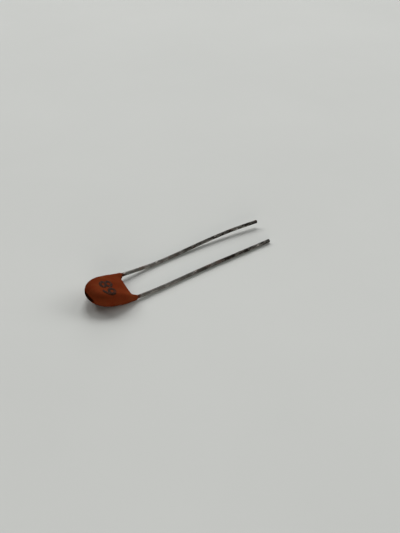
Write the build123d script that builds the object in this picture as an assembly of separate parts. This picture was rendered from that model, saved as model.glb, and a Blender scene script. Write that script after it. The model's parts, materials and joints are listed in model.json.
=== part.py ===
from build123d import *
import math
import os

# A ceramic disc capacitor that lies on a flat surface. Its two wire leads run along the surface, and
# its dipped body leans on the side of its legs, with the rounded end slightly raised.
# X runs along the leads, with the disc at -X. Y runs across them and Z is up.
# Lengths are in millimetres and angles in degrees. A name that ends in share or shares is a fraction
# of the size that it multiplies. A name that ends in power times a taper: above 1 it comes later.

# Silvered ceramic disc
ceramic_diameter = 4.0
ceramic_thickness = 0.4
ceramic_edge_break = 0.06
electrode_margin = 0.25
electrode_thickness = 0.02

# Tinned wire leads: free length past each leg, and how far the upper tip stands off the surface
wire_diameter = 0.5
wire_end_chamfer = 0.06
lead_pitch = 5.0
upper_lead_length = 23.2
lower_lead_length = 22.6
upper_tip_height = 0.5

# Solder joint between a wire and its electrode
solder_film = 0.05
solder_length = 1.5
solder_width = 0.95
solder_overlap = 0.15
solder_taper_angle = 18

# Resin dip
coat_cover = 0.22
coat_rim_wall = 0.89
leg_wall = 0.08
leg_end_break = 0.05
upper_leg_length = 0.95
lower_leg_length = 0.32
upper_exit_rise = 0.14
lower_exit_drop = 0.23
lower_exit_spread = 0.06
crotch_wall = 0.76
crotch_slant = 0.36
crotch_corner_radius = 0.3
crotch_edge_round = 0.2
leg_inner_wall = 0.03
upper_sweep_power = 1.0
upper_taper_power = 1.0
lower_sweep_power = 0.85
lower_taper_power = 1.25
loft_steps = 4

# The rounded end of the body is raised by this angle
body_lean_angle = 9.5

# Inner run of each wire: soldered end, disc's edge, and the bend inside the leg
soldered_back_share = 0.45
soldered_side_share = 0.22
edge_reach_share = 0.42
edge_side_share = 0.7
leg_bend_back = 0.45

# Free run of each wire: shares of its length, of the lead pitch, and of the tip's height
upper_route_shares = [
    (0.2, 0.505, 0),
    (0.375, 0.525, 0),
    (0.62, 0.555, 0.4),
    (0.82, 0.53, 0.78),
    (1, 0.435, 1),
]
lower_route_shares = [(0.16, 0.51, 0), (0.5, 0.46, 0), (1, 0.463, 0)]

# A bend takes this share of the shorter run beside it
bend_share = 0.4
cut_overrun = 1.0

# Sizes that follow from the driving dimensions
ceramic_radius = ceramic_diameter / 2
wire_radius = wire_diameter / 2
half_pitch = lead_pitch / 2
electrode_face = ceramic_thickness / 2 + electrode_thickness
wire_level = electrode_face + solder_film + wire_radius
coat_half = wire_level + wire_radius + coat_cover
coat_radius = ceramic_radius + coat_rim_wall
leg_radius = wire_radius + leg_wall
upper_leg_end = Vector(coat_radius + upper_leg_length, half_pitch, upper_exit_rise)
lower_leg_end = Vector(coat_radius + lower_leg_length, -half_pitch - lower_exit_spread, -lower_exit_drop)
lean = Rot(0, body_lean_angle, 0)


def eased(share):
    return share * share * (3 - 2 * share)


def leg_circle(leg_end, share, sweep_power, taper_power):
    """Centre and radius of one rounded side of the dip, from the disc's rim at 0 to its leg end at 1."""
    swept = eased(share**sweep_power)
    tapered = eased(share**taper_power)
    rim_side = math.copysign(coat_radius - coat_half, leg_end.Y)
    centre = Vector(leg_end.X * share, rim_side + (leg_end.Y - rim_side) * swept, leg_end.Z * swept)
    return centre, coat_half + (leg_radius - coat_half) * tapered


def coat_section(share):
    """Section across both legs: two circles and their common tangents."""
    upper, upper_radius = leg_circle(upper_leg_end, share, upper_sweep_power, upper_taper_power)
    lower, lower_radius = leg_circle(lower_leg_end, share, lower_sweep_power, lower_taper_power)
    across = upper - lower
    gap = across.length
    slope = (lower_radius - upper_radius) / gap
    rise = math.sqrt(1 - slope * slope)
    lower_top = (lower_radius * slope, lower_radius * rise)
    lower_bottom = (lower_radius * slope, -lower_radius * rise)
    upper_top = (gap + upper_radius * slope, upper_radius * rise)
    upper_bottom = (gap + upper_radius * slope, -upper_radius * rise)
    outline = [
        ThreePointArc(lower_bottom, (-lower_radius, 0), lower_top),
        Line(lower_top, upper_top),
        ThreePointArc(upper_top, (gap + upper_radius, 0), upper_bottom),
        Line(upper_bottom, lower_bottom),
    ]
    plane = Plane(origin=lower, x_dir=across, z_dir=across.cross(Vector(0, 0, 1)))
    return plane * make_face(outline)


def rim_profile():
    """Half section of the dipped disc: flat faces and a full round rim."""
    flat = coat_radius - coat_half
    faces = Polyline((flat, coat_half), (0, coat_half), (0, -coat_half), (flat, -coat_half))
    rim = ThreePointArc((flat, -coat_half), (coat_radius, 0), (flat, coat_half))
    return Plane.YZ * make_face([faces, rim])


def crotch_space():
    """The open space between the two legs; its floor slants towards the shorter leg."""
    inset = wire_radius + leg_inner_wall
    upper_wall = upper_leg_end.Y - inset
    lower_wall = lower_leg_end.Y + inset
    depth = ceramic_radius + crotch_wall
    outside = upper_leg_end.X + cut_overrun
    lower_side = [(outside, lower_wall), (depth - crotch_slant, lower_wall)]
    upper_side = [(depth + crotch_slant, upper_wall), (outside, upper_wall)]
    outline = make_face(Polyline(*lower_side, *upper_side, close=True))
    rounded = fillet(outline.vertices().sort_by(Axis.X)[:2], crotch_corner_radius)
    return extrude(rounded, amount=coat_half + cut_overrun, both=True)


def coat_outside():
    """The dipped disc, drawn out to two legs, with the crotch between them and softened edges."""
    disc_end = revolve(rim_profile(), Axis.Z, 180)
    leg_end = loft([coat_section(step / loft_steps) for step in range(loft_steps + 1)])
    whole = disc_end + leg_end
    crotch = crotch_space()
    body = whole - crotch
    crotch_rims = new_edges(whole, crotch, combined=body).filter_by(GeomType.LINE, reverse=True)
    body = fillet(crotch_rims, crotch_edge_round)
    outward = Axis((0, 0, 0), coat_section(1).face().normal_at())
    leg_faces = body.faces().filter_by(GeomType.PLANE).sort_by(outward)[-2:]
    return chamfer(leg_faces.edges(), leg_end_break)


def inner_route(side):
    """Soldered end and disc edge of one wire, in the disc's own frame; side is +1 for the upper wire."""
    across = side * half_pitch
    level = side * wire_level
    soldered = Vector(-ceramic_radius * soldered_back_share, across * soldered_side_share, level)
    edge = Vector(ceramic_radius * edge_reach_share, across * edge_side_share, level)
    return soldered, edge


def leaned(point):
    return point.rotate(Axis.Y, body_lean_angle)


def wire_route(side, leg_end, length, shares, floor):
    """Corner points of one wire as it lies, from its soldered end to its tip."""
    start = leaned(leg_end)
    free = []
    for along, across, lift in shares:
        height = floor + wire_radius + upper_tip_height * lift
        free.append(Vector(start.X + length * along, side * lead_pitch * across, height))
    leg_bend = start + (start - free[0]).normalized() * leg_bend_back
    return [leaned(point) for point in inner_route(side)] + [leg_bend] + free


def wire_lead(corners):
    """Straight runs joined by tangent arcs, swept by the round wire, with a chamfered tip."""
    radii = []
    for before, corner, after in zip(corners, corners[1:], corners[2:]):
        turn = math.radians((corner - before).get_angle(after - corner))
        shorter = min((corner - before).length, (after - corner).length)
        radii.append(bend_share * shorter / math.tan(turn / 2))
    path = FilletPolyline(*corners, radius=radii)
    wire = sweep((path ^ 0) * Circle(wire_radius), path=path)
    tip = wire.faces().sort_by(Axis.X)[-1]
    return chamfer(tip.edges(), wire_end_chamfer)


def ceramic_body():
    disc = Cylinder(ceramic_radius, ceramic_thickness)
    return chamfer(disc.edges().filter_by(GeomType.CIRCLE), ceramic_edge_break)


def electrode_film(side):
    height = side * (ceramic_thickness + electrode_thickness) / 2
    return Pos(0, 0, height) * Cylinder(ceramic_radius - electrode_margin, electrode_thickness)


def solder_mound(side):
    """A low tapered mound along the wire's soldered end, up to the middle of the wire."""
    soldered, edge = inner_route(side)
    along = (edge - soldered).normalized()
    middle = soldered + along * (solder_length / 2 - solder_overlap)
    base = Plane(origin=(middle.X, middle.Y, side * electrode_face), x_dir=along, z_dir=(0, 0, side))
    height = wire_level - electrode_face
    return extrude(base * SlotOverall(solder_length, solder_width), amount=height, taper=solder_taper_angle)


dipped_coat = lean * coat_outside()
floor = dipped_coat.bounding_box().min.Z

upper_route = wire_route(1, upper_leg_end, upper_lead_length, upper_route_shares, floor)
lower_route = wire_route(-1, lower_leg_end, lower_lead_length, lower_route_shares, floor)
lead_upper = wire_lead(upper_route)
lead_lower = wire_lead(lower_route)
pieces = {
    "ceramic_disc": lean * ceramic_body(),
    "electrode_upper": lean * electrode_film(1),
    "electrode_lower": lean * electrode_film(-1),
    "solder_upper": lean * solder_mound(1) - lead_upper,
    "solder_lower": lean * solder_mound(-1) - lead_lower,
    "lead_upper": lead_upper,
    "lead_lower": lead_lower,
}
for inner_piece in pieces.values():
    dipped_coat = dipped_coat - inner_piece
pieces["dipped_coat"] = dipped_coat

# The frame's origin is on the surface, under the middle of the whole part
box = dipped_coat.bounding_box()
for piece in pieces.values():
    box = box.add(piece.bounding_box())
place = Pos(-box.center().X, -box.center().Y, -floor)

os.makedirs("parts", exist_ok=True)
for name, piece in pieces.items():
    export_step(place * piece, os.path.join("parts", name + ".step"))
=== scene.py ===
# %% [markdown]
# # A ceramic disc capacitor, dressed in Blender
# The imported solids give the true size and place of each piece. This lesson keeps that frame and makes
# the pieces that show: the two tinned wire leads, the dipped resin body and its printed mark. The
# ceramic, its silver films and the solder are sealed in the resin, so they keep their plain solids
# and only get a finish.

# %% Load the frame
import json
import math

import bmesh
import bpy
from mathutils import Matrix, Vector
from mathutils.bvhtree import BVHTree


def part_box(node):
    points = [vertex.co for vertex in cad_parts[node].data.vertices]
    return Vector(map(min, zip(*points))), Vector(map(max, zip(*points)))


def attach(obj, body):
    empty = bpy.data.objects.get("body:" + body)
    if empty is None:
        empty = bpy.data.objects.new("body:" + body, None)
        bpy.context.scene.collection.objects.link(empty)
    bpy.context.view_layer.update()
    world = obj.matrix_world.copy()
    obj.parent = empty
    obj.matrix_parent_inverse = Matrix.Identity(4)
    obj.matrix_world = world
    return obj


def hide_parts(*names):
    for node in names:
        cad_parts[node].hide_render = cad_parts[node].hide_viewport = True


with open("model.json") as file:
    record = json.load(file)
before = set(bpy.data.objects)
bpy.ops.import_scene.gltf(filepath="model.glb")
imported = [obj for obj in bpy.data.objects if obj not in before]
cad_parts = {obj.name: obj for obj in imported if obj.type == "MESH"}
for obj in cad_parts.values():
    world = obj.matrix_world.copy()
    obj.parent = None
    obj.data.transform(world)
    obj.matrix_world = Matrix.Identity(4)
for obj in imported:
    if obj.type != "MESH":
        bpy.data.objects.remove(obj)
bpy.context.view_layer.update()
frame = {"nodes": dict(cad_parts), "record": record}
nodes = frame["nodes"]
MM = 0.001
print("nodes:", ", ".join(sorted(nodes)))

# %% [markdown]
# ## The camera
# The view looks down on the part from the side of its lower lead, with the leads running away to the
# upper right. The angles, the distance and the aim were fitted to the outline of the body and the
# lines of both leads, so the camera needs no shift.

# %% Camera
VIEW_AZIMUTH = math.radians(-35.67)
VIEW_ELEVATION = math.radians(36.0)
VIEW_DISTANCE = 103.13 * MM
VIEW_AIM = Vector((1.914, -1.380, 0.0)) * MM

towards_camera = Vector(
    (
        math.sin(VIEW_AZIMUTH) * math.cos(VIEW_ELEVATION),
        -math.cos(VIEW_AZIMUTH) * math.cos(VIEW_ELEVATION),
        math.sin(VIEW_ELEVATION),
    )
)
camera_data = bpy.data.cameras.new("camera")
camera_data.lens = 50
camera_data.sensor_width = 36
camera_data.clip_start = 1 * MM
camera = bpy.data.objects.new("camera", camera_data)
camera.location = VIEW_AIM + towards_camera * VIEW_DISTANCE
camera.rotation_euler = towards_camera.to_track_quat("Z", "Y").to_euler()
bpy.context.scene.collection.objects.link(camera)
bpy.context.scene.camera = camera
print("camera height in mm:", round(camera.location.z / MM, 1))

# %% [markdown]
# ## Helpers for node trees
# Every finish and every Geometry Nodes tree below is built by code. One helper adds a node, sets its
# options, and fills its inputs: an output socket is linked and anything else is written into the
# input. Small helpers on top of it do sums, soft steps and colour mixes. Colours are written as
# screen values from 0 to 255 and turned into the linear values that sockets take.


# %% Node helpers
def srgb(red, green, blue):
    """Linear colour from screen values between 0 and 255."""

    def linear(value):
        value = value / 255
        return value / 12.92 if value <= 0.04045 else ((value + 0.055) / 1.055) ** 2.4

    return (linear(red), linear(green), linear(blue), 1.0)


def feed(tree, socket, value):
    """Links a value that comes out of a node, and writes any other value into the socket."""
    if isinstance(value, bpy.types.NodeSocket):
        tree.links.new(value, socket)
    else:
        socket.default_value = value


def add_node(tree, kind, inputs=None, **options):
    """A new node with its options set and its inputs fed."""
    node = tree.nodes.new(kind)
    for name, value in options.items():
        setattr(node, name, value)
    for name, value in (inputs or {}).items():
        feed(tree, node.inputs[name], value)
    return node


def output(tree, kind, inputs=None, **options):
    """The first output of a new node."""
    return add_node(tree, kind, inputs, **options).outputs[0]


def calculate(tree, operation, first, second=0.0):
    """A sum of two numbers."""
    return output(tree, "ShaderNodeMath", {0: first, 1: second}, operation=operation)


def combine(tree, operation, first, second):
    """A sum of two vectors."""
    return output(tree, "ShaderNodeVectorMath", {0: first, 1: second}, operation=operation)


def lengthen(tree, vector, factor):
    """A vector times a number."""
    return output(tree, "ShaderNodeVectorMath", {0: vector, "Scale": factor}, operation="SCALE")


def ramp(tree, value, low, high, start=0.0, end=1.0):
    """A value mapped smoothly from low..high to start..end."""
    inputs = {"Value": value, "From Min": low, "From Max": high, "To Min": start, "To Max": end}
    return output(tree, "ShaderNodeMapRange", inputs, interpolation_type="SMOOTHSTEP")


def blend_colours(tree, factor, first, second):
    """A colour between two colours."""
    node = add_node(tree, "ShaderNodeMix", data_type="RGBA")
    for socket, value in zip((node.inputs[0], node.inputs[6], node.inputs[7]), (factor, first, second)):
        feed(tree, socket, value)
    return node.outputs[2]


def new_group(name, kind, inputs, outputs):
    """An empty node group with its named sockets; returns the tree, its inputs and its output node."""
    tree = bpy.data.node_groups.new(name, kind)
    for label, (socket, value) in inputs.items():
        made = tree.interface.new_socket(label, in_out="INPUT", socket_type=socket)
        if value is not None:
            made.default_value = value
    for label, socket in outputs.items():
        tree.interface.new_socket(label, in_out="OUTPUT", socket_type=socket)
    return tree, tree.nodes.new("NodeGroupInput").outputs, tree.nodes.new("NodeGroupOutput")


# %% [markdown]
# ## Effects that several finishes share
# Resin, ceramic, solder and tin all vary in tone over their surface and all have a fine tooth. Both
# effects are shader groups. `tone_patches` puts out a soft patchy mask of a given size, and
# `fine_tooth` puts out a height made of grain and scattered pits, and the pits by themselves as a
# mask of spots. Sizes are in millimetres.

# %% Patches of tone
tone_patches, given, result = new_group(
    "tone_patches",
    "ShaderNodeTree",
    {
        "Vector": ("NodeSocketVector", None),
        "Size": ("NodeSocketFloat", 1.0),
        "Contrast": ("NodeSocketFloat", 0.5),
    },
    {"Mask": "NodeSocketFloat"},
)
tree = tone_patches
patch_scale = calculate(tree, "DIVIDE", 1.0, given["Size"])
patch_inputs = {"Vector": given["Vector"], "Scale": patch_scale, "Detail": 4.0, "Roughness": 0.55}
patch_noise = output(tree, "ShaderNodeTexNoise", patch_inputs)
half_contrast = calculate(tree, "MULTIPLY", given["Contrast"], 0.5)
half_spread = calculate(tree, "SUBTRACT", 0.55, half_contrast)
lowest = calculate(tree, "SUBTRACT", 0.5, half_spread)
highest = calculate(tree, "ADD", 0.5, half_spread)
tree.links.new(ramp(tree, patch_noise, lowest, highest), result.inputs["Mask"])
print("shader group:", tone_patches.name)

# %% Grain and pits
fine_tooth, given, result = new_group(
    "fine_tooth",
    "ShaderNodeTree",
    {
        "Vector": ("NodeSocketVector", None),
        "Grain Size": ("NodeSocketFloat", 0.05),
        "Pit Size": ("NodeSocketFloat", 0.3),
        "Pit Depth": ("NodeSocketFloat", 0.5),
    },
    {"Height": "NodeSocketFloat", "Pits": "NodeSocketFloat"},
)
tree = fine_tooth
grain_scale = calculate(tree, "DIVIDE", 1.0, given["Grain Size"])
grain_inputs = {"Vector": given["Vector"], "Scale": grain_scale, "Detail": 3.0, "Roughness": 0.6}
grain = output(tree, "ShaderNodeTexNoise", grain_inputs)
pit_scale = calculate(tree, "DIVIDE", 1.0, given["Pit Size"])
pit_cells = add_node(tree, "ShaderNodeTexVoronoi", {"Vector": given["Vector"], "Scale": pit_scale})
pits = ramp(tree, pit_cells.outputs["Distance"], 0.08, 0.2, 1.0, 0.0)
sunk = calculate(tree, "MULTIPLY", pits, given["Pit Depth"])
tree.links.new(calculate(tree, "SUBTRACT", grain, sunk), result.inputs["Height"])
tree.links.new(pits, result.inputs["Pits"])
print("shader group:", fine_tooth.name)


# %% [markdown]
# ## Starting a finish
# Each material starts the same way: a Principled shader, and Object coordinates turned into
# millimetres, so that every size inside a finish reads as a real size. Values that are the same all
# over a surface are set on the shader itself.


# %% Material helpers
def start_finish(name, **constants):
    """A new material; returns it, its tree, its shader and the place on the object in millimetres."""
    material = bpy.data.materials.new(name)
    material.use_nodes = True
    tree = material.node_tree
    shader = tree.nodes["Principled BSDF"]
    for socket, value in constants.items():
        shader.inputs[socket.replace("_", " ").title().replace("Ior", "IOR")].default_value = value
    coordinates = add_node(tree, "ShaderNodeTexCoord").outputs["Object"]
    return material, tree, shader, lengthen(tree, coordinates, 1 / MM)


def use_group(tree, group, **inputs):
    """Places a shared group in a material and returns its outputs."""
    named = {name.replace("_", " ").title(): value for name, value in inputs.items()}
    return add_node(tree, "ShaderNodeGroup", named, node_tree=group).outputs


def patches(tree, place, size, contrast):
    """A soft patchy mask; the size is in millimetres."""
    return use_group(tree, tone_patches, vector=place, size=size, contrast=contrast)["Mask"]


def add_bump(tree, shader, height, depth_mm, strength=1.0):
    """Turns a height into a bump on the shader."""
    inputs = {"Height": height, "Distance": depth_mm * MM, "Strength": strength}
    tree.links.new(output(tree, "ShaderNodeBump", inputs), shader.inputs["Normal"])


# %% [markdown]
# ## The table
# The part lies on a pale, plain surface with a faint drift in its tone. One large face is enough,
# because nothing on it is close to the camera.

# %% Pale table
FLOOR_SIZE = 4.0
half = FLOOR_SIZE / 2
floor_corners = [(-half, -half, 0), (half, -half, 0), (half, half, 0), (-half, half, 0)]
floor_mesh = bpy.data.meshes.new("pale_table")
floor_mesh.from_pydata(floor_corners, [], [(0, 1, 2, 3)])
floor = bpy.data.objects.new("pale_table", floor_mesh)
bpy.context.scene.collection.objects.link(floor)
table_finish, tree, shader, place = start_finish("pale_table", roughness=0.8, specular_ior_level=0.05)
table_tone = patches(tree, place, 40.0, 0.3)
table_colour = blend_colours(tree, table_tone, srgb(197, 199, 196), srgb(201, 203, 200))
tree.links.new(table_colour, shader.inputs["Base Color"])
floor_mesh.materials.append(table_finish)
print("table side in m:", FLOOR_SIZE)

# %% [markdown]
# ## The light
# A row of soft windows stands behind the part and round to its right, so the shadows fall softly
# towards the viewer. A low, warm one in front grazes the table and lifts the near side of the dip, and
# the sky fills in a little. Each lamp is an oval of the same size, placed by its azimuth and elevation.

# %% Lamps and sky
LAMP_DISTANCE = 5.0
LAMP_WIDTH = 3.0
LAMP_HEIGHT = 1.8
WARM = (1.0, 0.92, 0.84)
PLAIN = (1.0, 1.0, 1.0)
away = Vector((-towards_camera.x, -towards_camera.y, 0)).normalized()
aside = Vector((away.y, -away.x, 0))


def soft_lamp(name, azimuth, elevation, power, colour=PLAIN):
    """An oval lamp that faces the part; azimuth 0 is straight behind it and positive to the right."""
    turn = math.radians(azimuth)
    rise = math.radians(elevation)
    level = away * math.cos(turn) + aside * math.sin(turn)
    towards = level * math.cos(rise) + Vector((0, 0, math.sin(rise)))
    data = bpy.data.lights.new(name, "AREA")
    data.shape = "ELLIPSE"
    data.size = LAMP_WIDTH
    data.size_y = LAMP_HEIGHT
    data.energy = power
    data.color = colour
    lamp = bpy.data.objects.new(name, data)
    lamp.location = towards * LAMP_DISTANCE
    lamp.rotation_euler = towards.to_track_quat("Z", "Y").to_euler()
    bpy.context.scene.collection.objects.link(lamp)
    print(name, "stands towards", [round(value, 2) for value in towards])


soft_lamp("window", azimuth=0, elevation=40, power=160.0)
soft_lamp("window_low", azimuth=0, elevation=20, power=68.0)
soft_lamp("window_left", azimuth=-45, elevation=30, power=100.0)
soft_lamp("window_right", azimuth=45, elevation=30, power=62.0)
soft_lamp("window_side", azimuth=75, elevation=20, power=76.0)
soft_lamp("front_fill", azimuth=180, elevation=8, power=128.0, colour=WARM)

world = bpy.data.worlds.new("room")
world.use_nodes = True
sky = world.node_tree.nodes["Background"]
sky.inputs["Color"].default_value = (0.98, 1.0, 0.98, 1.0)
sky.inputs["Strength"].default_value = 0.01
bpy.context.scene.world = world
bpy.context.scene.view_settings.view_transform = "Standard"


# %% [markdown]
# ## Turning a modifier's result into a plain piece
# Geometry Nodes and modifiers do the shaping, and the evaluated result is kept as an ordinary mesh on
# an object at the origin, because the export keeps meshes and not instances.


# %% Piece helpers
def scratch_object(name, mesh):
    """A new object in the scene for a mesh or a text."""
    made = bpy.data.objects.new(name, mesh)
    bpy.context.scene.collection.objects.link(made)
    return made


def add_tree(made, tree, **values):
    """Puts a Geometry Nodes tree on an object and sets its named inputs by their identifiers."""
    modifier = made.modifiers.new(tree.name, "NODES")
    modifier.node_group = tree
    for item in tree.interface.items_tree:
        key = item.name.lower().replace(" ", "_")
        if item.in_out == "INPUT" and key in values:
            modifier[item.identifier] = values[key]


def bake_piece(made, name):
    """The evaluated mesh of an object as a new plain object; the old one is removed."""
    bpy.context.view_layer.update()
    evaluated = made.evaluated_get(bpy.context.evaluated_depsgraph_get())
    mesh = bpy.data.meshes.new_from_object(evaluated)
    mesh.name = name
    bpy.data.objects.remove(made)
    return scratch_object(name, mesh)


def finish_piece(piece, slot, *replaced):
    """Ties a piece to the body and hides the nodes that it replaces; the slot is not used."""
    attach(piece, "root")
    if replaced:
        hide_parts(*replaced)
    print(piece.name, "faces:", len(piece.data.polygons))


# %% [markdown]
# ## Tinned wire finish
# The leads are tinned steel wire that has been handled. The tin is dull and patchy, with drawing
# lines along the wire, faint brown stains, tarnish that darkens towards the cut ends, and a brown film
# where the resin crept out of the legs. Its upward side carries painted shade, and a few rubbed spots
# are smoother and carry painted glints.
# The wire's mesh carries two attributes for this: `past_leg`, the distance past its leg in
# millimetres, and `facing_up`, which is 1 on top of the wire and -1 under it.

# %% Tinned wire: tone of the tin and painted shade on its top
wire_finish, tree, shader, place = start_finish(
    "tinned_wire", metallic=0.3, specular_ior_level=0.05, specular_tint=(0.15, 0.15, 0.15, 1.0)
)
past_leg = add_node(tree, "ShaderNodeAttribute", attribute_name="past_leg").outputs["Fac"]
along_wire = combine(tree, "MULTIPLY", place, (0.12, 1.0, 1.0))
tin_tone = patches(tree, place, 1.1, 0.9)
tin_colour = blend_colours(tree, tin_tone, srgb(116, 115, 110), srgb(148, 147, 142))
drawn_lines = calculate(tree, "MULTIPLY", patches(tree, along_wire, 0.1, 0.6), 0.4)
tin_colour = blend_colours(tree, drawn_lines, tin_colour, srgb(80, 78, 74))
# Painted shade: the upward-facing side of the wire is painted a darker grey, so its top looks less lit.
facing_up = add_node(tree, "ShaderNodeAttribute", attribute_name="facing_up").outputs["Fac"]
top_shade_side = ramp(tree, facing_up, 0.0, 0.8)
top_shade_strength = ramp(tree, tin_tone, 0.0, 1.0, 0.9, 0.7)
painted_top_shade = calculate(tree, "MULTIPLY", top_shade_side, top_shade_strength)
tin_colour = blend_colours(tree, painted_top_shade, tin_colour, srgb(88, 87, 83))

# %% Tinned wire: tarnish, stains, rubbed spots with painted glints, and resin film
tarnish_place = combine(tree, "MULTIPLY", place, (0.5, 1.0, 1.0))
tarnish_tone = calculate(tree, "ADD", patches(tree, tarnish_place, 0.45, 0.95), 0.3)
tarnish_reach = ramp(tree, past_leg, 4.0, 14.0, 0.0, 0.85)
tarnish = calculate(tree, "MULTIPLY", tarnish_reach, tarnish_tone)
tin_colour = blend_colours(tree, tarnish, tin_colour, srgb(34, 31, 28))
stain = ramp(tree, patches(tree, place, 1.7, 0.8), 0.75, 1.0, 0.0, 0.3)
tin_colour = blend_colours(tree, stain, tin_colour, srgb(92, 60, 48))
# Painted glints: rubbed spots are painted near white as highlights; they are also made a little smoother.
glint_spot_place = combine(tree, "MULTIPLY", place, (0.4, 1.0, 1.0))
glint_spot_tooth = use_group(tree, fine_tooth, vector=glint_spot_place, grain_size=0.1, pit_size=0.55, pit_depth=1.0)
rubbed_glint_spots = glint_spot_tooth["Pits"]
painted_glint = calculate(tree, "MULTIPLY", rubbed_glint_spots, 0.75)
tin_colour = blend_colours(tree, painted_glint, tin_colour, srgb(196, 194, 188))
film_edge = calculate(tree, "SUBTRACT", past_leg, calculate(tree, "MULTIPLY", tin_tone, 0.4))
film = ramp(tree, film_edge, -0.25, 0.3, 0.9, 0.0)
tin_colour = blend_colours(tree, film, tin_colour, srgb(66, 32, 20))
tree.links.new(tin_colour, shader.inputs["Base Color"])
dullness = ramp(tree, tin_tone, 0.0, 1.0, 0.66, 0.5)
rub_polish = calculate(tree, "MULTIPLY", rubbed_glint_spots, 0.2)
tree.links.new(calculate(tree, "SUBTRACT", dullness, rub_polish), shader.inputs["Roughness"])
wire_tooth = use_group(tree, fine_tooth, vector=along_wire, grain_size=0.05, pit_size=0.35, pit_depth=0.8)
add_bump(tree, shader, wire_tooth["Height"], 0.006)
print("finish:", wire_finish.name, "nodes:", len(tree.nodes))

# %% [markdown]
# ## Where the leads run
# Each lead is one round wire, bent by hand in a few places. Its middle line could be typed in again,
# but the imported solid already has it: planes across X cut the wire every few tenths of a millimetre,
# and the middle of each cut is a point of the line. The two ends are carried on straight. The leg's
# end, where the wire comes out of the resin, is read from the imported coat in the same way.

# %% Middle lines of both wires
WIRE_RADIUS = frame["record"]["mounts"][0]["dims"]["r_mm"] * MM
SLICE_GAP = 0.3 * MM
coat_points = [point.co for point in nodes["dipped_coat"].data.vertices]
UPPER_LEG_END = max(point.x for point in coat_points if point.y > 0)
LOWER_LEG_END = max(point.x for point in coat_points if point.y < 0)


def box_middle(points):
    """Middle of the box round some points, whatever their order."""
    sides = [[point[axis] for point in points] for axis in range(3)]
    return Vector([(min(side) + max(side)) / 2 for side in sides])


def middle_at(mesh, x):
    """Middle of the cut that a plane across X makes through a wire."""
    cut = []
    for edge in mesh.edges:
        first, second = [mesh.vertices[index].co for index in edge.vertices]
        if (first.x - x) * (second.x - x) < 0:
            cut.append(first.lerp(second, (x - first.x) / (second.x - first.x)))
    return box_middle(cut)


def middle_line(node):
    """Points along the middle of a packed wire, from its soldered end to its tip."""
    low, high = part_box(node)
    first = low[0] + 2 * WIRE_RADIUS
    last = high[0] - WIRE_RADIUS
    steps = round((last - first) / SLICE_GAP)
    places = [first + (last - first) * step / steps for step in range(steps + 1)]
    line = [middle_at(nodes[node].data, x) for x in places]
    backwards = (line[0] - line[1]).normalized() * WIRE_RADIUS
    forwards = (line[-1] - line[-2]).normalized()
    slant = math.sqrt(1 - forwards.x**2)
    to_tip = high[0] - last - WIRE_RADIUS * slant
    return [line[0] + backwards] + line + [line[-1] + forwards * to_tip]


def line_object(name, points):
    """A mesh of edges that joins the points in order."""
    mesh = bpy.data.meshes.new(name)
    mesh.from_pydata(points, [(step, step + 1) for step in range(len(points) - 1)], [])
    return scratch_object(name, mesh)


upper_line = line_object("upper_line", middle_line("lead_upper"))
lower_line = line_object("lower_line", middle_line("lead_lower"))
print("points on the lines:", len(upper_line.data.vertices), len(lower_line.data.vertices))

# %% [markdown]
# ## The leads
# A bevelled curve would do for the wire, but a Geometry Nodes tree keeps the line, the surface and the
# attributes for the finish together. The points become a smooth curve, a slow waver keeps the runs from
# being ruler straight, Curve to Mesh sweeps the round section along it, and shallow dents stand for
# marks of handling. Noise scales here count cells per metre. The cut tips are bevelled afterwards.

# %% Geometry Nodes for a formed wire: the line
formed_wire, given, result = new_group(
    "formed_wire",
    "GeometryNodeTree",
    {
        "Geometry": ("NodeSocketGeometry", None),
        "Wire Radius": ("NodeSocketFloat", WIRE_RADIUS),
        "Ring Gap": ("NodeSocketFloat", 0.09 * MM),
        "Sides": ("NodeSocketInt", 24),
        "Waver": ("NodeSocketFloat", 0.03 * MM),
        "Dent Depth": ("NodeSocketFloat", 0.01 * MM),
        "Leg End": ("NodeSocketFloat", 0.0),
        "Finish": ("NodeSocketMaterial", None),
    },
    {"Geometry": "NodeSocketGeometry"},
)
tree = formed_wire
route = output(tree, "GeometryNodeMeshToCurve", {"Mesh": given["Geometry"]})
route = output(tree, "GeometryNodeCurveSplineType", {"Curve": route}, spline_type="CATMULL_ROM")
spaced = {"Curve": route, "Length": given["Ring Gap"]}
route = output(tree, "GeometryNodeResampleCurve", spaced, mode="LENGTH")
along = output(tree, "ShaderNodeSeparateXYZ", {0: output(tree, "GeometryNodeInputPosition")})
past = calculate(tree, "DIVIDE", calculate(tree, "SUBTRACT", along, given["Leg End"]), MM)
stored = {"Geometry": route, "Name": "past_leg", "Value": past}
route = output(tree, "GeometryNodeStoreNamedAttribute", stored)
slow_noise = add_node(tree, "ShaderNodeTexNoise", {"Scale": 260.0, "Detail": 1.0}).outputs["Color"]
centred = combine(tree, "SUBTRACT", slow_noise, (0.5, 0.5, 0.5))
sideways = combine(tree, "MULTIPLY", centred, (0.0, 1.0, 0.0))
waver = calculate(tree, "MULTIPLY", given["Waver"], ramp(tree, past, 0.0, 2.0))
drift = lengthen(tree, sideways, waver)
route = output(tree, "GeometryNodeSetPosition", {"Geometry": route, "Offset": drift})

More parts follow.
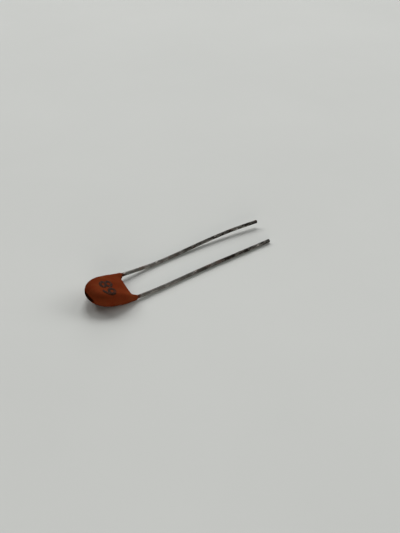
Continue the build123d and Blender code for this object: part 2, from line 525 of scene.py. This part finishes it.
# %% Geometry Nodes for a formed wire: the surface
circle = {"Resolution": given["Sides"], "Radius": given["Wire Radius"]}
section = output(tree, "GeometryNodeCurvePrimitiveCircle", circle)
swept = {"Curve": route, "Profile Curve": section, "Fill Caps": True}
tube = output(tree, "GeometryNodeCurveToMesh", swept)
dent_noise = output(tree, "ShaderNodeTexNoise", {"Scale": 1500.0, "Detail": 2.0})
dents = calculate(tree, "MULTIPLY", ramp(tree, dent_noise, 0.56, 0.78), given["Dent Depth"])
normal = output(tree, "GeometryNodeInputNormal")
inwards = lengthen(tree, normal, calculate(tree, "MULTIPLY", dents, -1.0))
tube = output(tree, "GeometryNodeSetPosition", {"Geometry": tube, "Offset": inwards})
facing = add_node(tree, "ShaderNodeSeparateXYZ", {0: normal}).outputs["Z"]
stored = {"Geometry": tube, "Name": "facing_up", "Value": facing}
tube = output(tree, "GeometryNodeStoreNamedAttribute", stored)
tube = output(tree, "GeometryNodeSetShadeSmooth", {"Geometry": tube})
tube = output(tree, "GeometryNodeRealizeInstances", {"Geometry": tube})
tube = output(tree, "GeometryNodeSetMaterial", {"Geometry": tube, "Material": given["Finish"]})
tree.links.new(tube, result.inputs["Geometry"])
print("tree:", formed_wire.name, "nodes:", len(formed_wire.nodes))

# %% Both leads
TIP_BEVEL = 0.05 * MM


def bevel_ends(mesh):
    """Bevels the flat end of each wire, which sweeping leaves as one many-sided face."""
    work = bmesh.new()
    work.from_mesh(mesh)
    rims = {edge for face in work.faces if len(face.verts) > 4 for edge in face.edges}
    for edge in rims:
        edge.smooth = False
    bmesh.ops.bevel(work, geom=list(rims), offset=TIP_BEVEL, segments=2, affect="EDGES", profile=0.5)
    work.to_mesh(mesh)
    work.free()


def make_lead(name, line, leg_end):
    """One wire lead, swept along its line and bevelled at its ends."""
    work = scratch_object(name + "_route", line.data.copy())
    add_tree(work, formed_wire, leg_end=leg_end, finish=wire_finish)
    piece = bake_piece(work, name)
    bevel_ends(piece.data)
    return piece


upper_wire = make_lead("upper_wire", upper_line, UPPER_LEG_END)
lower_wire = make_lead("lower_wire", lower_line, LOWER_LEG_END)
finish_piece(upper_wire, "tinned_wire", "lead_upper")
finish_piece(lower_wire, "tinned_wire", "lead_lower")

# %% [markdown]
# ## Resin dip finish
# The body is dipped in a brown resin that dries matte. Its colour drifts in soft patches, the filler
# shows as a fine tooth with a few pinholes, and the thin ends on the wires are duller and darker: the
# body's mesh carries the attribute `thinned` for that. The rounded end has a dab of black paint, which
# is a mask around the tip of the disc with a ragged edge.

# %% Resin: colour and tooth
resin_finish, tree, shader, place = start_finish("resin_dip", specular_ior_level=0.0)
broad = patches(tree, place, 2.4, 0.7)
resin_colour = blend_colours(tree, broad, srgb(86, 35, 16), srgb(102, 49, 26))
red_drift = calculate(tree, "MULTIPLY", patches(tree, place, 1.1, 0.7), 0.6)
resin_colour = blend_colours(tree, red_drift, resin_colour, srgb(95, 33, 17))
mottle = calculate(tree, "MULTIPLY", patches(tree, place, 0.16, 0.5), 0.4)
resin_colour = blend_colours(tree, mottle, resin_colour, srgb(88, 34, 14))
resin_tooth = use_group(tree, fine_tooth, vector=place, grain_size=0.07, pit_size=0.45, pit_depth=0.9)
pinholes = calculate(tree, "MULTIPLY", resin_tooth["Pits"], 0.5)
resin_colour = blend_colours(tree, pinholes, resin_colour, srgb(62, 23, 10))
thinned = add_node(tree, "ShaderNodeAttribute", attribute_name="thinned").outputs["Fac"]
thin_share = calculate(tree, "MULTIPLY", thinned, 0.6)
resin_colour = blend_colours(tree, thin_share, resin_colour, srgb(70, 37, 27))
tree.links.new(ramp(tree, broad, 0.0, 1.0, 0.62, 0.74), shader.inputs["Roughness"])
add_bump(tree, shader, resin_tooth["Height"], 0.012, 0.6)

# %% Resin: the dab of black paint
DAB_HALF_SIZE = (0.45, 1.7, 0.5)
DAB_SHIFT = Vector((0.0, 0.22, 0.0))
nose = min(coat_points, key=lambda point: point.x) / MM
from_middle = combine(tree, "SUBTRACT", place, tuple(nose + DAB_SHIFT))
dab_shape = combine(tree, "DIVIDE", from_middle, DAB_HALF_SIZE)
dab_reach = add_node(tree, "ShaderNodeVectorMath", {0: dab_shape}, operation="LENGTH").outputs["Value"]
ragged = calculate(tree, "MULTIPLY", patches(tree, place, 0.4, 0.3), 0.3)
dab = ramp(tree, calculate(tree, "ADD", dab_reach, ragged), 1.08, 1.2, 1.0, 0.0)
resin_colour = blend_colours(tree, dab, resin_colour, srgb(32, 12, 3))
tree.links.new(resin_colour, shader.inputs["Base Color"])
print("nose in mm:", [round(value, 2) for value in nose])

# %% [markdown]
# ## The skin of the dip
# The resin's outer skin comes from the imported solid, so its outline is exact. A copy of that solid
# loses the faces that touch the pieces inside it, and its two wire holes are closed by a fan of
# triangles each, which works in whatever order the edges come. A voxel remesh then gives it an even
# net of small faces that the next step can move.

# %% Outer skin of the dip
TOUCH = 0.008 * MM
WELD = 0.001 * MM
VOXEL_MM = 0.05
SEALED = ["ceramic_disc", "electrode_upper", "electrode_lower", "solder_upper", "solder_lower"]


def surface_of(name):
    """A node's surface, ready to be asked for its nearest point."""
    mesh = nodes[name].data
    corners = [point.co for point in mesh.vertices]
    return BVHTree.FromPolygons(corners, [face.vertices for face in mesh.polygons])


def close_holes(work):
    """Closes each open rim with a fan of triangles to its middle."""
    open_edges = {edge for edge in work.edges if edge.is_boundary}
    while open_edges:
        rim = [open_edges.pop()]
        for edge in rim:
            beside = {other for corner in edge.verts for other in corner.link_edges} & open_edges
            rim.extend(beside)
            open_edges -= beside
        middle = work.verts.new(box_middle([corner.co for edge in rim for corner in edge.verts]))
        for edge in rim:
            work.faces.new((*edge.verts, middle))
        print("rim closed, edges:", len(rim))


def outer_skin(name, inside):
    """A closed copy of a node's outside, in millimetres, without the faces that touch what it holds."""
    held = [surface_of(inner) for inner in inside]
    work = bmesh.new()
    work.from_mesh(nodes[name].data)
    bmesh.ops.remove_doubles(work, verts=work.verts, dist=WELD)
    inner_faces = []
    for face in work.faces:
        middle = face.calc_center_median()
        if any(tree.find_nearest(middle, TOUCH)[0] is not None for tree in held):
            inner_faces.append(face)
    print("inner faces left out:", len(inner_faces), "of", len(work.faces))
    bmesh.ops.delete(work, geom=inner_faces, context="FACES")
    close_holes(work)
    work.transform(Matrix.Scale(1 / MM, 4))
    bmesh.ops.triangulate(work, faces=work.faces)
    mesh = bpy.data.meshes.new(name + "_skin")
    work.to_mesh(mesh)
    work.free()
    return mesh


held_pieces = SEALED + ["lead_upper", "lead_lower"]
skin = scratch_object("dip_skin", outer_skin("dipped_coat", held_pieces))
remesh = skin.modifiers.new("even_net", "REMESH")
remesh.mode = "VOXEL"
remesh.voxel_size = VOXEL_MM
skin = bake_piece(skin, "dip_skin")
skin.data.transform(Matrix.Scale(MM, 4))
print("skin faces:", len(skin.data.polygons))

# %% [markdown]
# ## The dipped body
# A dip leaves no sharp corner, thins out to nothing where it ends on each wire, and shows faint ridges
# over the wires and slow swells where it sagged before it set. A little resin also hung as a web in the
# far corner between the legs. A Geometry Nodes tree does the same to the skin: it blurs the positions,
# pushes the far corner out in plan, draws the ends of the legs in towards the wire's middle line, and
# moves the surface along its normal. Noise scales here count cells per metre.

# %% Geometry Nodes for the dip: smooth corners
dip_shape, given, result = new_group(
    "dip_shape",
    "GeometryNodeTree",
    {
        "Geometry": ("NodeSocketGeometry", None),
        "Upper Line": ("NodeSocketObject", None),
        "Lower Line": ("NodeSocketObject", None),
        "Upper Leg End": ("NodeSocketFloat", 0.0),
        "Lower Leg End": ("NodeSocketFloat", 0.0),
        "Wire Radius": ("NodeSocketFloat", WIRE_RADIUS),
        "Film Wall": ("NodeSocketFloat", 0.012 * MM),
        "Feather Length": ("NodeSocketFloat", 0.42 * MM),
        "Smoothing": ("NodeSocketInt", 14),
        "Web Corner": ("NodeSocketVector", None),
        "Web Reach": ("NodeSocketFloat", 0.65 * MM),
        "Web Fill": ("NodeSocketFloat", 0.3 * MM),
        "Ridge Height": ("NodeSocketFloat", 0.035 * MM),
        "Swell Height": ("NodeSocketFloat", 0.035 * MM),
        "Ripple Height": ("NodeSocketFloat", 0.006 * MM),
        "Finish": ("NodeSocketMaterial", None),
    },
    {"Geometry": "NodeSocketGeometry"},
)
tree = dip_shape
position = output(tree, "GeometryNodeInputPosition")
blur = {"Value": position, "Iterations": given["Smoothing"]}
smoothed = output(tree, "GeometryNodeBlurAttribute", blur, data_type="FLOAT_VECTOR")
body = output(tree, "GeometryNodeSetPosition", {"Geometry": given["Geometry"], "Position": smoothed})

# %% Geometry Nodes for the dip: a web in the far corner
from_corner = combine(tree, "SUBTRACT", position, given["Web Corner"])
in_plan = combine(tree, "MULTIPLY", from_corner, (1.0, 1.0, 0.0))
plan_reach = add_node(tree, "ShaderNodeVectorMath", {0: in_plan}, operation="LENGTH").outputs["Value"]
web_share = ramp(tree, plan_reach, 0.0, given["Web Reach"], 1.0, 0.0)
into_crotch = output(tree, "ShaderNodeVectorMath", {0: (1.0, -1.0, 0.0)}, operation="NORMALIZE")
web = lengthen(tree, into_crotch, calculate(tree, "MULTIPLY", web_share, given["Web Fill"]))
body = output(tree, "GeometryNodeSetPosition", {"Geometry": body, "Offset": web})

# %% Geometry Nodes for the dip: thin ends on the wires
lines = add_node(tree, "GeometryNodeJoinGeometry")
for label in ("Upper Line", "Lower Line"):
    line = add_node(tree, "GeometryNodeObjectInfo", {"Object": given[label]}, transform_space="RELATIVE")
    tree.links.new(line.outputs["Geometry"], lines.inputs[0])
nearest = add_node(tree, "GeometryNodeProximity", {"Geometry": lines.outputs[0]}, target_element="EDGES")
on_line = nearest.outputs["Position"]
from_line = nearest.outputs["Distance"]
axes = add_node(tree, "ShaderNodeSeparateXYZ", {0: position}).outputs
upper_side = calculate(tree, "GREATER_THAN", axes["Y"], 0.0)
ends_apart = calculate(tree, "SUBTRACT", given["Upper Leg End"], given["Lower Leg End"])
longer = calculate(tree, "MULTIPLY", upper_side, ends_apart)
leg_end = calculate(tree, "ADD", given["Lower Leg End"], longer)
before_end = calculate(tree, "SUBTRACT", leg_end, axes["X"])
edge_noise = output(tree, "ShaderNodeTexNoise", {"Scale": 2400.0, "Detail": 1.0})
uneven = calculate(tree, "MULTIPLY", calculate(tree, "SUBTRACT", edge_noise, 0.5), given["Feather Length"])
feather = ramp(tree, calculate(tree, "ADD", before_end, uneven), 0.0, given["Feather Length"], 1.0, 0.0)
leg_reach = calculate(tree, "MULTIPLY", given["Wire Radius"], 1.6)
leg_limit = calculate(tree, "MULTIPLY", given["Wire Radius"], 2.4)
feather = calculate(tree, "MULTIPLY", feather, ramp(tree, from_line, leg_reach, leg_limit, 1.0, 0.0))
film_radius = calculate(tree, "ADD", given["Wire Radius"], given["Film Wall"])
surplus = calculate(tree, "MINIMUM", calculate(tree, "SUBTRACT", film_radius, from_line), 0.0)
off_line = combine(tree, "SUBTRACT", position, on_line)
outwards = output(tree, "ShaderNodeVectorMath", {0: off_line}, operation="NORMALIZE")
drawn_in = lengthen(tree, outwards, calculate(tree, "MULTIPLY", surplus, feather))
stored = {"Geometry": body, "Name": "thinned", "Value": feather}
body = output(tree, "GeometryNodeStoreNamedAttribute", stored)
body = output(tree, "GeometryNodeSetPosition", {"Geometry": body, "Offset": drawn_in})

# %% Geometry Nodes for the dip: ridges, swells and ripples
over_wire = calculate(tree, "SUBTRACT", from_line, given["Wire Radius"])
ridge = ramp(tree, over_wire, 0.06 * MM, 0.3 * MM, 1.0, 0.0)
swell_noise = output(tree, "ShaderNodeTexNoise", {"Scale": 520.0, "Detail": 1.0})
swell = calculate(tree, "MULTIPLY", calculate(tree, "SUBTRACT", swell_noise, 0.5), 2.0)
ripple_noise = output(tree, "ShaderNodeTexNoise", {"Scale": 2600.0, "Detail": 2.0})
ripple = calculate(tree, "MULTIPLY", calculate(tree, "SUBTRACT", ripple_noise, 0.5), 2.0)
raised = calculate(tree, "MULTIPLY", ridge, given["Ridge Height"])
raised = calculate(tree, "ADD", raised, calculate(tree, "MULTIPLY", swell, given["Swell Height"]))
raised = calculate(tree, "ADD", raised, calculate(tree, "MULTIPLY", ripple, given["Ripple Height"]))
raised = calculate(tree, "MULTIPLY", raised, calculate(tree, "SUBTRACT", 1.0, feather))
normal = output(tree, "GeometryNodeInputNormal")
pushed_out = lengthen(tree, normal, raised)
body = output(tree, "GeometryNodeSetPosition", {"Geometry": body, "Offset": pushed_out})

# %% Geometry Nodes for the dip: stay above the table
above = calculate(tree, "MAXIMUM", axes["Z"], 0.0)
kept = output(tree, "ShaderNodeCombineXYZ", {"X": axes["X"], "Y": axes["Y"], "Z": above})
body = output(tree, "GeometryNodeSetPosition", {"Geometry": body, "Position": kept})
body = output(tree, "GeometryNodeSetShadeSmooth", {"Geometry": body})
body = output(tree, "GeometryNodeRealizeInstances", {"Geometry": body})
body = output(tree, "GeometryNodeSetMaterial", {"Geometry": body, "Material": given["Finish"]})
tree.links.new(body, result.inputs["Geometry"])
print("tree:", dip_shape.name, "nodes:", len(dip_shape.nodes))

# %% The body itself
WEB_BACK = 0.72 * MM
WEB_ASIDE = 0.28 * MM
in_upper_leg = middle_at(nodes["lead_upper"].data, UPPER_LEG_END - WEB_BACK)
web_corner = in_upper_leg - Vector((0, WEB_ASIDE, 0))
add_tree(
    skin,
    dip_shape,
    upper_line=upper_line,
    lower_line=lower_line,
    upper_leg_end=UPPER_LEG_END,
    lower_leg_end=LOWER_LEG_END,
    web_corner=tuple(web_corner),
    finish=resin_finish,
)
resin_body = bake_piece(skin, "resin_body")
for line in (upper_line, lower_line):
    bpy.data.objects.remove(line)
finish_piece(resin_body, "resin_dip", "dipped_coat")

# %% [markdown]
# ## The printed mark
# Such a part carries its value as a plain number, stamped in dark ink across the disc. The number
# here is an ordinary one. The text becomes a mesh, is cut into small faces so that it can follow the
# body, and is wrapped onto the resin as a film a few thousandths of a millimetre thick.

# %% Ink material
ink_finish, tree, shader, place = start_finish("stamped_ink", roughness=0.7, specular_ior_level=0.03)
ink_wear = ramp(tree, patches(tree, place, 0.3, 0.75), 0.45, 1.0, 0.0, 0.75)
ink_colour = blend_colours(tree, ink_wear, srgb(33, 19, 11), srgb(80, 34, 15))
tree.links.new(ink_colour, shader.inputs["Base Color"])
ink_tooth = use_group(tree, fine_tooth, vector=place, grain_size=0.07, pit_size=0.45, pit_depth=0.9)
add_bump(tree, shader, ink_tooth["Height"], 0.01, 0.5)
print("finish:", ink_finish.name)

# %% Letters as a mesh of small faces
MARK_TEXT = "68"
MARK_SIZE = 2.35
MARK_WIDEN = 1.5
STROKE_SWELL = 0.06
SMALL_FACE = 0.14
SPLIT_PASSES = 5

text_data = bpy.data.curves.new("mark_text", "FONT")
text_data.body = MARK_TEXT
text_data.size = MARK_SIZE
text_data.align_x = "CENTER"
text_data.align_y = "CENTER"
text_data.resolution_u = 6
text_data.offset = STROKE_SWELL
mark = bake_piece(scratch_object("mark_text", text_data), "printed_mark")
work = bmesh.new()
work.from_mesh(mark.data)
bmesh.ops.triangulate(work, faces=work.faces)
for _ in range(SPLIT_PASSES):
    long_edges = [edge for edge in work.edges if edge.calc_length() > SMALL_FACE]
    bmesh.ops.subdivide_edges(work, edges=long_edges, cuts=1)
    bmesh.ops.triangulate(work, faces=work.faces)
print("mark faces before wrapping:", len(work.faces))

# %% Mark on the body
MARK_TURN = math.radians(76)
MARK_SHIFT = Vector((-0.06, -0.65, 0.0))
DROP_HEIGHT = 5 * MM
INK_STAND_OFF = 0.006 * MM
INK_FILM = 0.004 * MM

disc_low, disc_high = [Vector(corner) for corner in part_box("ceramic_disc")]
mark_place = (disc_low + disc_high) / 2 + MARK_SHIFT * MM
mark_place.z = DROP_HEIGHT
widened = Matrix.Diagonal((MARK_WIDEN * MM, MM, MM, 1.0))
work.transform(Matrix.Translation(mark_place) @ Matrix.Rotation(MARK_TURN, 4, "Z") @ widened)
work.to_mesh(mark.data)
work.free()
wrap = mark.modifiers.new("onto_body", "SHRINKWRAP")
wrap.target = resin_body
wrap.wrap_method = "PROJECT"
wrap.use_project_z = True
wrap.use_negative_direction = True
wrap.use_positive_direction = False
wrap.offset = INK_STAND_OFF
film_wall = mark.modifiers.new("film", "SOLIDIFY")
film_wall.thickness = INK_FILM
film_wall.offset = -1
mark = bake_piece(mark, "printed_mark")
mark.data.materials.clear()
mark.data.materials.append(ink_finish)
finish_piece(mark, "resin_dip")
print("mark lowest and highest z in mm:", [round(mark.bound_box[i][2] / MM, 3) for i in (0, 6)])

# %% [markdown]
# ## The pieces sealed inside
# The ceramic, its silver films and the solder never show from outside, but they are part of the
# model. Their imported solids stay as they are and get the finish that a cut-open part would show:
# pale grainy ceramic, flat matte silver and frosted solder.


# %% Inner finishes
def inner_finish(name, dark, light, patch_size, roughness, grain_size, depth_mm, **constants):
    """A finish whose colour and roughness drift together, with a fine tooth."""
    material, tree, shader, place = start_finish(name, **constants)
    drift = patches(tree, place, patch_size, 0.7)
    tree.links.new(blend_colours(tree, drift, dark, light), shader.inputs["Base Color"])
    tree.links.new(ramp(tree, drift, 0.0, 1.0, *roughness), shader.inputs["Roughness"])
    tooth = use_group(tree, fine_tooth, vector=place, grain_size=grain_size, pit_size=0.3, pit_depth=0.5)
    add_bump(tree, shader, tooth["Height"], depth_mm)
    return material


fired_ceramic = inner_finish(
    "fired_ceramic", srgb(196, 172, 138), srgb(218, 200, 170), 0.12, (0.6, 0.75), 0.04, 0.008
)
silver_film = inner_finish(
    "silver_film", srgb(214, 211, 203), srgb(232, 230, 224), 0.5, (0.35, 0.5), 0.03, 0.003, metallic=1.0
)
frozen_solder = inner_finish(
    "frozen_solder", srgb(150, 150, 148), srgb(198, 198, 196), 0.3, (0.28, 0.5), 0.1, 0.01, metallic=1.0
)
INNER_FINISHES = {
    "ceramic_disc": fired_ceramic,
    "electrode_upper": silver_film,
    "electrode_lower": silver_film,
    "solder_upper": frozen_solder,
    "solder_lower": frozen_solder,
}
for name, finish in INNER_FINISHES.items():
    nodes[name].data.materials.clear()
    nodes[name].data.materials.append(finish)
print("inner finishes:", len(INNER_FINISHES))
